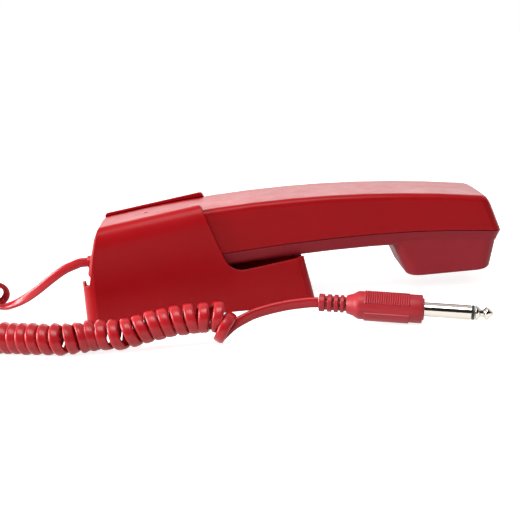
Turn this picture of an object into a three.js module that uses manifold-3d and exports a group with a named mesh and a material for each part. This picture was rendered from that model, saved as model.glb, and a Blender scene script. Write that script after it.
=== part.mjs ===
// Slimline wall phone: a curved handset in a holster cradle that screws to the wall, with a curly cord
// that ends in a 6.35 mm jack plug. Millimetres. +X runs from the cord end to the ear end of the handset,
// +Z is straight out of the wall. The origin is on the wall face of the cradle, under the middle of the
// whole length of cradle and handset. The cord lies on the plane of the wall face.
import * as THREE from 'three';
import { mergeVertices } from 'three/addons/utils/BufferGeometryUtils.js';
import Module from 'manifold-3d';

const wasm = await Module();
wasm.setup();

// ---------------------------------------------------------------- driving dimensions
const fit = 0.3; // clearance between pieces that seat on each other
const over = 1; // how far a cutting body reaches past what it cuts

const cradle = {
  length: 112.8, // along the wall
  width: 50,
  wall: 2.1,
  floorThickness: 1.8,
  cornerRadius: 4.5, // at the end of the tongue
  toeCornerRadius: 8,
  toeReach: 3.2, // the toe stands out past the end of the handset by this much
  toeHeight: 19.2,
  toeLipHeight: 1.4,
  toeLipThickness: 1.8,
  toeDraft: 0.3, // how far the toe leans in over its height
  toeNotchWidth: 34,
  toeNotchFloor: 12,
  sideSetback: 4.2, // the side walls stop this far behind the face of the toe
  rimLength: 50.2, // curled rim, measured along the wall
  rimHeight: 53.2, // top of the rim at the mouth
  rimAngle: 7.5, // the rim and the channel climb towards the mouth
  rimGap: 34.6, // slot between the two rims
  rimClearance: 1.2, // from the rim top down to the back of the handset where it is closest
  rimCorner: 1.8, // the rims' corners are rounded over this length
  lipRadius: 0.5, // round edge of the slot between the rims
  underGap: 0.35, // between a rim and the edge of the handset's back
  sideClearance: 0.6, // between a side wall and the handset
  shoulderHeight: 12, // height over which a wall curls in, outside
  shoulderPower: 2.4,
  innerShoulderTop: 1.05, // below the rim top
  innerShoulderHeight: 7.2,
  innerShoulderPower: 2.6,
  mouthAngle: 18.8, // slope of the mouth edge against the vertical
  mouthFillet: 10,
  toeLipCorner: 0.8,
  tongueEndSlope: 4.1, // how far the end face of the tongue leans back over its height
  returnWidth: 4.4, // the rounded end corners turn in by this much
};

const handset = {
  length: 203.2, // at the joint line
  endLean: 6.2, // each end face leans in by this much up to the crown edge
  width: cradle.width - 2 * (cradle.wall + cradle.sideClearance),
  backRadius: 600, // the back is an arc
  crown: 0.5, // the back is this much higher along its middle
  sideDraft: 0.6,
  edgeRadius: 3.2,
  endRadius: 6, // corner radius in plan
  endEdgeRadius: 2.4,
  endBulge: 0.8,
  wall: 2,
  // depth of the joint line below the top of the back, at four even control stations from the cord end
  jointDepths: [28.8, 23.6, 16.4, 25.5],
  frontDepth: 6.8, // depth of the front shell below the joint line
  frontInset: 1.2, // the front shell draws in by this much over its depth
  frontEdgeRadius: 2.4,
  frontEndInset: 2.4,
};

const block = {
  faceClearance: 3.44, // from the floor of the cradle up to the face of each block
  length: 51.9, // where it leaves the front shell
  endInset: 1.8, // from the end of the handset to the far flank, at the same place
  nearLean: 0.4, // lean of the near flank, per mm of height
  farLean: 0.27,
  edgeRadius: 1.8,
  cornerRadius: 6,
  earInset: 1.3, // the ear block is narrower than the handset by this much on each side
  mouthInset: 2.3, // passes between the rounded end corners of the tongue
};

const plate = { thickness: 2.2, screwInset: 14, screwSpread: 30 };
const plateScrew = { shank: 2.9, head: 5.6, headHeight: 1.6, length: 5.8, boss: 7, bossHeight: 2.9 };
const keyhole = { head: 9, slot: 4.4, travel: 8, spread: 52 };
const magnet = { diameter: 8, height: 2.2, cup: 1.5, cupHeight: 1.4 }; // lies under the reed switch

const receiver = { diameter: 30, height: 8, clothDiameter: 26, clothThickness: 0.4 };
const gasket = { bore: 22, height: 1.6 };
const earHoles = { diameter: 2, rings: [0, 4.4, 8.8], count: 6 };
const microphone = { diameter: 9.7, height: 5, bootWall: 2.2, portDiameter: 1.6, portSpacing: 5 };
const board = { length: 40, sideGap: 3.3, thickness: 1.6, ribThickness: 1.6, ribGap: 1.8, fromEnd: 12 };
const reed = { diameter: 2.6, length: 15, fromBoardEnd: 4 };
const terminal = { length: 9, width: 14, height: 6 };
const weight = { length: 42, width: 22, height: 6 };
const shellScrew = {
  shank: 2.9, head: 6, headHeight: 2, length: 15, post: 7.5, tower: 9.5, towerHeight: 4.2, place: 37,
};
const port = { diameter: 1.8, fromEnd: 30 }; // the small hole in the back

const grommet = { height: 6.6, width: 6.4, proud: 1.5, flange: 1.2, reach: 5.3, inner: 1.5, above: 2.1 };

const cord = { width: 3.7, thickness: 2.4, tubeSides: 8, leadStep: 1.6, tailStep: 2.6 };
const coil = {
  diameter: 14,
  turns: 48,
  closedPitch: 4.6,
  // pitch of the drawn-out turns, one by one from the plug end
  openPitches: [6.6, 5.2, 5.8, 6, 5, 5.7, 5.4, 5.8, 6.2, 5.7, 5.2, 5.3, 5.3, 5.8, 5.7, 5.4],
  stepsPerTurn: 8,
  lean: 0.43, // the last turns lean, drawn by the tail
  leanTurns: 2.2,
  startAngle: -90, // the lead comes in underneath
  straight: 2.4, // straight run at each end, one cord thickness long
};

const plug = {
  place: new THREE.Vector2(49.9, -69.3), // where the collar rests
  yaw: -10.5,
  bootLength: 11.6,
  bootRadius: 3.75,
  bootSlots: 4,
  bootSlotPitch: 2.6,
  bootSlotWidth: 0.95,
  bootCore: 2.3,
  shoulderLength: 4.9,
  shoulderRadius: 6.1,
  gripLength: 23.2,
  gripRadius: 6.4,
  padStart: 3.4, // ribbed pads above and below the grip
  padHalfWidth: 3.6,
  padHeight: 0.1,
  padFoot: 4.6,
  padRibs: 10,
  collarLength: 5.4,
  collarRadius: 6.4,
  noseLength: 1.5,
  noseRadius: 4.9,
  shaft: 6.35,
  sleeveLength: 20.7,
  insulatorLength: 1.6,
  tipShoulder: 1.1,
  neckTaper: 1.2,
  neckRadius: 1.7,
  neckLength: 1.6,
  headRadius: 2.8,
  headLength: 4.2,
  pointRadius: 0.5,
  core: 1.3, // centre rod of the tip, inside the sleeve
  tail: 14, // how far the sleeve and the rod reach back into the grip
};

// The lead, from the grommet to the first turn of the coil, as it lies: hand-placed points.
const leadRoute = [
  [-108.3, 0.3, 25], [-113.5, 1, 23.1], [-119, 2.4, 19.9], [-124.5, 4.4, 16.1], [-130, 7, 12.1],
  [-135.8, 10.2, 8.3], [-141.6, 13.6, 5.1], [-146.8, 16, 3],
];
// Axis of the coil, from the lead to the tail: hand-placed points. The third number is how far the turns are
// lifted off the wall plane.
const coilRoute = [
  [-155, 20.6, 0], [-156.4, 26, 0], [-160.8, 31.4, 0], [-168.3, 35, 0], [-177.3, 35.5, 0], [-186.3, 31.5, 0],
  [-192.3, 23.5, 0], [-194.8, 12, 0], [-195.3, -2, 0], [-194.3, -17, 0], [-190.3, -31, 0], [-181.8, -41, 0],
  [-169, -46.5, 0], [-155, -50, 0], [-137.7, -55.3, 0], [-122.9, -61.3, 0], [-114, -64.7, 0],
  [-106, -67.2, 0], [-101.3, -67.3, 0], [-97.3, -66.6, 0.1], [-93.3, -66.6, 0.3], [-88.4, -67.4, 0.3],
  [-83.3, -69, 0.4], [-78.1, -69.8, 0.8], [-73.4, -69.8, 1.7], [-68, -69.6, 2.8], [-62.8, -69.5, 3.5],
  [-57.2, -69.6, 4.2], [-51.4, -69.9, 4.6], [-44.7, -70.6, 4.8], [-41, -71, 4.8], [-35.8, -71.6, 4.7],
];
// The tail, as it lies: one last turn drawn out of the coil, then the run to the plug. Hand-placed points.
const tailRoute = [
  [-38.1, -66.9, 6.3], [-36.9, -64.8, 7.1], [-35, -64.2, 8.2], [-33.1, -65.4, 9.7], [-32, -68.2, 11.4],
  [-31.8, -71.6, 12.3], [-32.5, -75.1, 12.3], [-33.8, -77.8, 11.1], [-35.6, -79.2, 8.9], [-37.1, -79, 6.3],
  [-38.1, -76.9, 4], [-38.4, -73.6, 2.6], [-37.7, -70.6, 2.6], [-35.6, -68.6, 3.8], [-33, -67.8, 5.6],
  [-30.2, -67, 7.1], [-26.5, -65.8, 8.4], [-21.7, -64, 9.7], [-16.2, -62.9, 10.6], [-10.7, -62.1, 11.2],
  [-5.3, -61.6, 11.6], [0, -61.4, 11.7],
];

// ---------------------------------------------------------------- sizes worked out from them
const radians = THREE.MathUtils.degToRad;
const rimSlope = Math.tan(radians(cradle.rimAngle));
const overallLength = cradle.toeReach + handset.length;
const cradleLeft = -overallLength / 2;
const cradleRight = cradleLeft + cradle.length;
const handsetMiddle = cradleLeft + cradle.toeReach + handset.length / 2;
const halfWidth = cradle.width / 2;
const handsetEnd = handsetMiddle - handset.length / 2;
const boardLeft = handsetEnd + board.fromEnd;
const boardWidth = handset.width - 2 * (handset.wall + board.sideGap);
const magnetX = boardLeft + board.length - reed.fromBoardEnd;
const channelHalf = halfWidth - cradle.wall;
const rimHalf = cradle.rimGap / 2;
const floorBottom = plate.thickness + fit;
const floorTop = floorBottom + cradle.floorThickness;

const rimLeft = cradleLeft + cradle.sideSetback + (cradle.rimHeight - cradle.toeHeight) * 0.2;
const mouthX = rimLeft + cradle.rimLength;
const rimTop = (x) => cradle.rimHeight + (x - mouthX) * rimSlope;

// The back of the handset is an arc that comes closest to the rim line where both have the same slope.
const backTop = rimTop(handsetMiddle) - (handset.backRadius * rimSlope ** 2) / 2 - cradle.rimClearance;
const backHeight = (x) => backTop - (x - handsetMiddle) ** 2 / (2 * handset.backRadius);
function jointHeight(x) {
  const t = (x - handsetMiddle) / handset.length + 0.5;
  const [a, b, c, d] = handset.jointDepths;
  const s = 1 - t;
  return backTop - (s ** 3 * a + 3 * s * s * t * b + 3 * s * t * t * c + t ** 3 * d);
}
const frontHeight = (x) => jointHeight(x) - handset.frontDepth;
const blockFace = floorTop + block.faceClearance;
const blockFar = handset.length / 2 - block.endInset;
const blockNear = blockFar - block.length;
const earWidth = handset.width - 2 * block.earInset;
const mouthWidth = handset.width - 2 * block.mouthInset;
const earX = handsetMiddle + (blockNear + blockFar) / 2 + 1;
const mouthBlockX = handsetMiddle - (blockNear + blockFar) / 2 - 1;
const bootBore = microphone.diameter + 2 * fit;
const bootOuter = bootBore + 2 * microphone.bootWall;

// ---------------------------------------------------------------- geometry tools
const paint = (colour, roughness, metalness = 0) => ({ color: colour, roughness, metalness });
const redShell = paint(0xa3141c, 0.35);
const redCord = paint(0xb9252e, 0.45);
const nickel = paint(0xc9c6c0, 0.22, 1);
const steel = paint(0x9a9da1, 0.4, 1);
const black = paint(0x17171a, 0.6);

// A three.js geometry as a manifold solid, and back.
function solid(geometry) {
  const bare = geometry.index ? geometry.toNonIndexed() : geometry.clone();
  bare.deleteAttribute('normal');
  bare.deleteAttribute('uv');
  const merged = mergeVertices(bare, 1e-4);
  return new wasm.Manifold(
    new wasm.Mesh({
      numProp: 3,
      vertProperties: merged.attributes.position.array,
      triVerts: new Uint32Array(merged.index.array),
    }),
  );
}

function shape(body) {
  const { vertProperties, triVerts } = body.getMesh();
  const geometry = new THREE.BufferGeometry();
  geometry.setAttribute('position', new THREE.BufferAttribute(vertProperties, 3));
  geometry.setIndex(new THREE.BufferAttribute(triVerts, 1));
  geometry.computeVertexNormals();
  return geometry;
}

function mesh(name, geometry, look, parent) {
  const made = new THREE.Mesh(geometry, new THREE.MeshStandardMaterial(look));
  made.name = name;
  parent.add(made);
  return made;
}

const cut = (body, ...tools) => tools.reduce((left, tool) => left.subtract(tool), body);
const join = (body, ...others) => others.reduce((sum, other) => sum.add(other), body);

// A box between two corners.
function box(x0, x1, y0, y1, z0, z1) {
  const geometry = new THREE.BoxGeometry(x1 - x0, y1 - y0, z1 - z0);
  return solid(geometry.translate((x0 + x1) / 2, (y0 + y1) / 2, (z0 + z1) / 2));
}

// An upright cylinder from z0 to z1, or a cone where the top radius differs.
function post(x, y, z0, z1, radius, topRadius = radius, sides = 20) {
  const geometry = new THREE.CylinderGeometry(topRadius, radius, z1 - z0, sides);
  return solid(geometry.rotateX(Math.PI / 2).translate(x, y, (z0 + z1) / 2));
}

const outline = (points) => new THREE.Shape(points.map(([x, y]) => new THREE.Vector2(x, y)));

// A profile drawn in X and Z, extruded across Y.
function prismAcross(profile, y0, y1, curveSegments = 6) {
  const geometry = new THREE.ExtrudeGeometry(profile, { depth: y1 - y0, bevelEnabled: false, curveSegments });
  return solid(geometry.rotateX(Math.PI / 2).translate(0, y1, 0));
}

// A plan drawn in X and Y, extruded up Z.
function prismUp(plan, z0, z1, curveSegments = 6) {
  const geometry = new THREE.ExtrudeGeometry(plan, { depth: z1 - z0, bevelEnabled: false, curveSegments });
  return solid(geometry.translate(0, 0, z0));
}

// The low end may have a corner radius of its own.
function roundedRectangle(x0, x1, halfY, highRadius, lowRadius = highRadius, arcSteps = 4) {
  const points = [];
  const corners = [[x1, halfY, 0], [x0, halfY, 90], [x0, -halfY, 180], [x1, -halfY, 270]];
  for (const [x, y, from] of corners) {
    const radius = x === x0 ? lowRadius : highRadius;
    const cx = x - Math.sign(x - (x0 + x1) / 2) * radius;
    const cy = y - Math.sign(y) * radius;
    for (let k = 0; k <= arcSteps; k++) {
      const angle = radians(from + (90 * k) / arcSteps);
      points.push([cx + radius * Math.cos(angle), cy + radius * Math.sin(angle)]);
    }
  }
  return points;
}

// A closed body through rings with the same number of points, each counter-clockwise seen from the end.
function loft(rings) {
  const count = rings[0].length;
  const position = rings.flat().flatMap((p) => [p.x, p.y, p.z]);
  const index = [];
  for (let k = 0; k + 1 < rings.length; k++) {
    for (let i = 0; i < count; i++) {
      const a = k * count + i;
      const b = k * count + ((i + 1) % count);
      index.push(a, b, b + count, a, b + count, a + count);
    }
  }
  const last = (rings.length - 1) * count;
  for (let i = 1; i + 1 < count; i++) {
    index.push(0, i + 1, i);
    index.push(last, last + i, last + i + 1);
  }
  const geometry = new THREE.BufferGeometry();
  geometry.setAttribute('position', new THREE.Float32BufferAttribute(position, 3));
  geometry.setIndex(index);
  return geometry;
}

// One quarter of a squarish curl, from straight up the side (0) to level along the top (1).
function curl(t, reach, height, power) {
  const angle = (t * Math.PI) / 2;
  return [reach * Math.cos(angle) ** (2 / power), height * Math.sin(angle) ** (2 / power)];
}

// ---------------------------------------------------------------- cradle
// A section across the channel, swept along the slope of the rim well past both ends of the cradle.
function sweptChannel(section) {
  const xFrom = cradleLeft - cradle.width;
  const xTo = cradleRight + cradle.width;
  const slope = radians(cradle.rimAngle);
  const geometry = new THREE.ExtrudeGeometry(section, {
    depth: (xTo - xFrom) / Math.cos(slope),
    bevelEnabled: false,
  });
  const along = new THREE.Vector3(Math.cos(slope), 0, Math.sin(slope));
  const out = new THREE.Vector3(-Math.sin(slope), 0, Math.cos(slope));
  const turn = new THREE.Matrix4().makeBasis(new THREE.Vector3(0, 1, 0), out, along);
  const start = new THREE.Vector3(xFrom, 0, rimTop(xFrom));
  return solid(geometry.applyMatrix4(turn.setPosition(start)));
}

// Half outlines are mirrored, so that both walls are alike. Height 0 is the rim top.
function mirrored(half) {
  const back = half.map(([y, z]) => [-y, z]).reverse();
  return outline([...half, ...back]);
}

function cradleOutside() {
  const deep = -(cradle.rimHeight + cradle.width);
  const half = [[halfWidth, deep]];
  for (let k = 0; k <= 12; k++) {
    const [y, z] = curl(k / 12, halfWidth - rimHalf, cradle.shoulderHeight, cradle.shoulderPower);
    half.push([rimHalf + y, z - cradle.shoulderHeight]);
  }
  return sweptChannel(mirrored(half));
}

function cradleInside() {
  const deep = -(cradle.rimHeight + cradle.width);
  const half = [[channelHalf, deep]];
  for (let k = 0; k <= 8; k++) {
    const [y, z] = curl(k / 8, channelHalf - rimHalf, cradle.innerShoulderHeight, cradle.innerShoulderPower);
    half.push([rimHalf + y, z - cradle.innerShoulderHeight - cradle.innerShoulderTop]);
  }
  return sweptChannel(mirrored(half));
}

// The underside of the rims follows the back of the handset.
function belowRims() {
  const profile = new THREE.Shape();
  profile.moveTo(cradleLeft, 0);
  profile.lineTo(cradleRight, 0);
  for (let k = 0; k <= 16; k++) {
    const x = cradleRight - (k / 16) * cradle.length;
    profile.lineTo(x, backHeight(x) - handset.crown + cradle.underGap);
  }
  return prismAcross(profile, -halfWidth, halfWidth);
}

// The slot between the rims, wider at the top by their round edges.
function rimSlot() {
  const radius = cradle.lipRadius;
  const half = [[rimHalf, -cradle.shoulderHeight]];
  for (const angle of [0, 30, 60, 90])
    half.push([rimHalf + radius * (1 - Math.cos(radians(angle))), radius * (Math.sin(radians(angle)) - 1)]);
  half.push([rimHalf + radius, over]);
  return sweptChannel(mirrored(half));
}

// The end face of the tongue leans back; this is its place at a height.
const tongueEnd = cradleRight - cradle.tongueEndSlope;
const tongueTop = frontHeight(tongueEnd) - fit;
const tongueFace = (z) => cradleRight - (cradle.tongueEndSlope * z) / tongueTop;
const toeFace = (z) => cradleLeft + (cradle.toeDraft * z) / cradle.toeHeight;
const toeTop = cradle.toeHeight + cradle.toeLipHeight;
const toeInner = toeFace(toeTop) + cradle.toeLipThickness;

// Rounds the corner of a profile that goes on to the next point, over the given reach to each side.
function roundedCorner(profile, corner, next, reach) {
  const from = profile.currentPoint.clone().sub(corner).setLength(reach).add(corner);
  const to = next.clone().sub(corner).setLength(reach).add(corner);
  profile.lineTo(from.x, from.y);
  profile.quadraticCurveTo(corner.x, corner.y, to.x, to.y);
}

function cradleSide() {
  const sideLeft = cradleLeft + cradle.sideSetback;
  const lean = Math.tan(radians(cradle.mouthAngle));
  const mouthLine = (z) => mouthX + (cradle.rimHeight - z) * lean;
  const tongueLine = (x) => tongueTop + (x - tongueEnd) * rimSlope;
  // Corner where the mouth edge would meet the top of the tongue, and the fillet that rounds it.
  const corner = new THREE.Vector2();
  corner.y = (tongueLine(mouthX) + cradle.rimHeight * lean * rimSlope) / (1 + lean * rimSlope);
  corner.x = mouthLine(corner.y);
  const up = new THREE.Vector2(-lean, 1).normalize();
  const along = new THREE.Vector2(1, rimSlope).normalize();
  const half = Math.acos(up.dot(along)) / 2;
  const rimMouth = new THREE.Vector2(mouthX, cradle.rimHeight);
  const rimEnd = new THREE.Vector2(rimLeft, rimTop(rimLeft));
  const sideFoot = new THREE.Vector2(sideLeft, cradle.toeHeight);
  const toeFoot = new THREE.Vector2(toeInner, cradle.toeHeight);
  const lipInner = new THREE.Vector2(toeInner, toeTop);
  const lipOuter = new THREE.Vector2(toeFace(toeTop), toeTop);
  const profile = new THREE.Shape();
  profile.moveTo(cradleLeft, 0);
  profile.lineTo(cradleRight, 0);
  profile.lineTo(tongueEnd, tongueTop);
  roundedCorner(profile, corner, rimMouth, cradle.mouthFillet / Math.tan(half));
  roundedCorner(profile, rimMouth, rimEnd, cradle.rimCorner);
  roundedCorner(profile, rimEnd, sideFoot, cradle.rimCorner);
  profile.lineTo(sideFoot.x, sideFoot.y);
  profile.lineTo(toeFoot.x, toeFoot.y);
  roundedCorner(profile, lipInner, lipOuter, cradle.toeLipCorner);
  roundedCorner(profile, lipOuter, new THREE.Vector2(cradleLeft, 0), cradle.toeLipCorner);
  return prismAcross(profile, -halfWidth - over, halfWidth + over, 8);
}

// The plan has round corners; its ends lean as the toe and the end of the tongue do.
function cradlePlan() {
  const levels = [0, rimTop(mouthX) + over];
  const grown = fit / 2;
  return solid(
    loft(
      levels.map((z) =>
        roundedRectangle(
          toeFace(z), tongueFace(z), halfWidth + grown, cradle.cornerRadius + grown,
          cradle.toeCornerRadius + grown, 8,
        ).map(([x, y]) => new THREE.Vector3(x, y, z)),
      ),
    ),
  );
}

const screwPlaces = [-1, 1].flatMap((side) => [
  [cradleLeft + plate.screwInset, (side * plate.screwSpread) / 2],
  [cradleRight - plate.screwInset, (side * plate.screwSpread) / 2],
]);
const keyholePlaces = [-1, 1].map((side) => cradleLeft + cradle.length / 2 + (side * keyhole.spread) / 2);

// A slot with round ends along X, with its wide end at x.
function slotAlong(x, length, radius, z0, z1) {
  return join(
    box(x, x + length, -radius, radius, z0, z1),
    post(x, 0, z0, z1, radius),
    post(x + length, 0, z0, z1, radius),
  );
}

// The outline of the recess under the cradle, and of the plate in it.
const underside = (inset) => roundedRectangle(
  cradleLeft + inset, cradleRight - inset, halfWidth - inset, cradle.cornerRadius / 2,
  cradle.toeCornerRadius - inset,
);

function cradleShell() {
  const inner = channelHalf;
  const returnHalf = halfWidth - cradle.returnWidth;
  const returnStart = tongueEnd - cradle.wall;
  const high = cradle.rimHeight + cradle.width;
  let body = cradleOutside().intersect(cradleSide()).intersect(cradlePlan());
  const inside = roundedRectangle(
    toeInner, returnStart, inner, cradle.cornerRadius - cradle.wall, cradle.toeCornerRadius - cradle.wall, 6,
  );
  const channel = cradleInside().intersect(belowRims()).intersect(prismUp(outline(inside), floorTop, high));
  const mouthWay = box(returnStart - over, cradleRight + over, -returnHalf, returnHalf, floorTop, high);
  const under = prismUp(outline(underside(cradle.wall)), -over, floorBottom);
  const notchHalf = cradle.toeNotchWidth / 2;
  const notch = prismLong(
    [[-notchHalf, cradle.toeNotchFloor], [notchHalf, cradle.toeNotchFloor],
      [notchHalf, high], [-notchHalf, high]],
    cradleLeft - over, cradleLeft + cradle.wall + over,
  );
  body = cut(body, channel, rimSlot(), mouthWay, under, notch);
  for (const x of keyholePlaces)
    body = body.subtract(slotAlong(x, keyhole.travel, keyhole.head / 2 + fit, 0, floorTop + over));
  for (const [x, y] of screwPlaces) {
    const top = floorTop + plateScrew.bossHeight;
    body = body.add(post(x, y, floorTop - fit, top, plateScrew.boss / 2));
    body = body.subtract(post(x, y, floorBottom - over, top - 0.8, plateScrew.shank / 2 + fit));
  }
  const cup = magnet.diameter / 2 + fit;
  const ring = post(magnetX, 0, floorTop - fit, floorTop + magnet.cupHeight, cup + magnet.cup);
  return body.add(cut(ring, post(magnetX, 0, floorTop, floorTop + magnet.cupHeight + over, cup)));
}

// An outline in Y and Z, extruded along X.
function prismLong(points, x0, x1) {
  const ring = (x) => points.map(([y, z]) => new THREE.Vector3(x, y, z));
  return solid(loft([ring(x0), ring(x1)]));
}

function wallPlate() {
  const inset = cradle.wall + fit;
  let body = prismUp(outline(underside(inset)), 0, plate.thickness);
  for (const x of keyholePlaces) {
    body = body.subtract(slotAlong(x, keyhole.travel, keyhole.slot / 2, -over, plate.thickness + over));
    body = body.subtract(post(x, 0, -over, plate.thickness + over, keyhole.head / 2));
  }
  for (const [x, y] of screwPlaces) {
    const hole = plateScrew.shank / 2 + fit;
    const sink = plateScrew.head / 2 + fit;
    body = cut(
      body,
      post(x, y, -over, plate.thickness + over, hole),
      post(x, y, -over, 0, sink),
      post(x, y, 0, plateScrew.headHeight, sink, hole),
    );
  }
  return body;
}

function plateScrewBody(x, y) {
  const shank = plateScrew.shank / 2;
  const start = fit / 2;
  return join(
    post(x, y, start, start + plateScrew.headHeight, plateScrew.head / 2, shank),
    post(x, y, start + plateScrew.headHeight / 2, start + plateScrew.length, shank, shank, 12),
  );
}

// ---------------------------------------------------------------- handset shells
// Distances from an end of the shell at which it has a ring: close together round the end, then even.
function stations(endRadius, halfLength) {
  const near = [90, 66, 42, 18, 0].map((angle) => endRadius * (1 - Math.sin(radians(angle))));
  const even = [0.2, 0.4, 0.6, 0.8, 1].map((share) => endRadius + share * (halfLength - endRadius));
  const all = [...near, ...even].map((distance) => 1 - distance / halfLength);
  return [...all.map((u) => -u), ...all.reverse().slice(1)];
}

// How much a round end draws in, at a distance from that end.
function drawnIn(distance, radius) {
  const missing = Math.max(0, radius - distance);
  return radius - Math.sqrt(Math.max(0, radius ** 2 - missing ** 2));
}

// One ring of the back shell, grown inwards by inset, with its joint side lowered by drop.
function backRing(u, inset, drop) {
  const halfJoint = handset.length / 2 - inset;
  const halfBack = handset.length / 2 - handset.endLean - inset;
  const radius = handset.edgeRadius - Math.min(inset, handset.edgeRadius - 1);
  const fromEnd = (1 - Math.abs(u)) * halfJoint;
  const endRadius = handset.endRadius - inset / 2;
  const width = handset.width / 2 - inset - drawnIn(fromEnd, endRadius);
  const xLow = handsetMiddle + u * halfJoint;
  const xHigh = handsetMiddle + u * halfBack;
  const low = jointHeight(xLow);
  const high = backHeight(xHigh) - inset - drawnIn(fromEnd, handset.endEdgeRadius);
  const topWidth = width - handset.sideDraft - radius;
  const side = [[width, 0]];
  for (const angle of [0, 22.5, 45, 67.5, 90]) {
    const y = topWidth + radius * Math.cos(radians(angle));
    const z = high - handset.crown - radius * (1 - Math.sin(radians(angle)));
    side.push([y, (z - low) / (high - low)]);
  }
  side.push([topWidth * 0.5, (high - handset.crown / 4 - low) / (high - low)]);
  const half = side.map(([y, t]) => {
    const bulge = Math.sign(u) * (Math.abs(u) > 0.9 ? 1 : 0) * handset.endBulge * 4 * t * (1 - t);
    return [y, THREE.MathUtils.lerp(xLow, xHigh, t) + bulge, THREE.MathUtils.lerp(low, high, t)];
  });
  const right = half.map(([y, x, z]) => new THREE.Vector3(x, y, z));
  const left = half.map(([y, x, z]) => new THREE.Vector3(x, -y, z)).reverse();
  const top = new THREE.Vector3(xHigh, 0, high);
  const ring = [...right, top, ...left];
  if (drop > 0) {
    ring.unshift(new THREE.Vector3(xLow, width, low - drop));
    ring.push(new THREE.Vector3(xLow, -width, low - drop));
  }
  return ring;
}

function backBody(inset, drop) {
  const places = stations(handset.endRadius, handset.length / 2);
  return solid(loft(places.map((u) => backRing(u, inset, drop))));
}

// One ring of the front shell below the joint line, grown inwards by inset, its joint side raised by lift.
function frontRing(u, inset, lift) {
  const gap = lift > 0 ? 0 : fit;
  const halfJoint = handset.length / 2 - inset;
  const halfLow = halfJoint - handset.frontEndInset;
  const fromEnd = (1 - Math.abs(u)) * halfJoint;
  const width = handset.width / 2 - inset - drawnIn(fromEnd, handset.endRadius - inset / 2);
  const xHigh = handsetMiddle + u * halfJoint;
  const xLow = handsetMiddle + u * halfLow;
  const high = jointHeight(xHigh) - gap + lift;
  const low = frontHeight(xLow) + inset + drawnIn(fromEnd, handset.frontEdgeRadius) / 2;
  const radius = handset.frontEdgeRadius;
  const lowWidth = width - handset.frontInset - radius;
  const half = [];
  for (const angle of [0, 30, 60, 90])
    half.push([lowWidth + radius * Math.sin(radians(angle)), low + radius * (1 - Math.cos(radians(angle)))]);
  half.push([width, high]);
  const place = (z) => THREE.MathUtils.mapLinear(z, low, high, xLow, xHigh);
  const right = half.map(([y, z]) => new THREE.Vector3(place(z), y, z));
  const left = half.map(([y, z]) => new THREE.Vector3(place(z), -y, z)).reverse();
  return [...right, ...left];
}

function frontBody(inset, lift) {
  const places = stations(handset.endRadius, handset.length / 2);
  return solid(loft(places.map((u) => frontRing(u, inset, lift))));
}

// A block under one end of the handset; side is 1 at the ear and -1 at the mouth.
function blockBody(side, width, inset) {
  const root = frontHeight(handsetMiddle + side * blockNear);
  const top = root + handset.wall;
  const face = blockFace + inset;
  const levels = [top];
  for (const angle of [0, 30, 60, 90]) levels.push(face + block.edgeRadius * (1 - Math.sin(radians(angle))));
  const rings = levels.map((z) => {
    const round = drawnIn(z - face, block.edgeRadius);
    const near = blockNear + (root - z) * block.nearLean + inset + round;
    const far = blockFar - (root - z) * block.farLean - inset - round;
    const ends = [handsetMiddle + side * near, handsetMiddle + side * far].sort((a, b) => a - b);
    const half = width / 2 - inset - round;
    return roundedRectangle(ends[0], ends[1], half, block.cornerRadius - inset)
      .map(([x, y]) => new THREE.Vector3(x, y, z));
  });
  return solid(loft(rings.reverse()));
}

const boardBottom = jointHeight(boardLeft + board.length);
const screwXs = [-1, 1].map((side) => handsetMiddle + side * shellScrew.place);
const grommetZ = jointHeight(handsetMiddle - handset.length / 2) + grommet.above;

// A plate with round ends, upright across X, for the grommet and the hole that it sits in.
function grommetPlate(x0, x1, height, width) {
  const radius = width / 2;
  const points = [];
  for (let k = 0; k <= 12; k++) {
    const angle = radians(15 * k);
    points.push([radius * Math.cos(angle), height / 2 - radius + radius * Math.sin(angle)]);
  }
  const lower = points.map(([y, z]) => [-y, -z]);
  return prismLong([...points, ...lower].map(([y, z]) => [y, z + grommetZ]), x0, x1);
}

function grommetBody() {
  const outer = handsetEnd - grommet.proud;
  const neckEnd = handsetEnd + grommet.reach;
  const neckHeight = grommet.height - 2 * grommet.flange;
  const neckWidth = grommet.width - 2 * grommet.flange;
  // The collar seats on the leaning end faces of both shells.
  const collar = cut(
    grommetPlate(outer, neckEnd, grommet.height, grommet.width),
    backBody(-fit, over),
    frontBody(-fit, 0),
  );
  return join(
    collar,
    grommetPlate(outer, neckEnd, neckHeight, neckWidth),
    grommetPlate(neckEnd - fit, neckEnd + grommet.inner, grommet.height, grommet.width),
  );
}

function grommetHole() {
  const clearance = 2 * fit;
  return grommetPlate(
    handsetEnd - over, handsetEnd + grommet.reach,
    grommet.height - 2 * grommet.flange + clearance, grommet.width - 2 * grommet.flange + clearance,
  );
}

function backShell() {
  let body = cut(backBody(0, 0), backBody(handset.wall, over));
  for (const x of screwXs) {
    const bottom = frontHeight(x) + shellScrew.towerHeight + fit;
    const bore = shellScrew.shank / 2 + fit;
    body = body.add(post(x, 0, bottom, backHeight(x) - handset.wall / 2, shellScrew.post / 2));
    body = body.subtract(post(x, 0, bottom - over, bottom + shellScrew.length - 2, bore));
  }
  const portX = handsetEnd + port.fromEnd;
  const hole = post(portX, 0, backHeight(portX) - 2 * handset.wall, backHeight(portX) + over,
    port.diameter / 2, port.diameter / 2, 12);
  return cut(body, hole, grommetHole());
}

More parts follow.
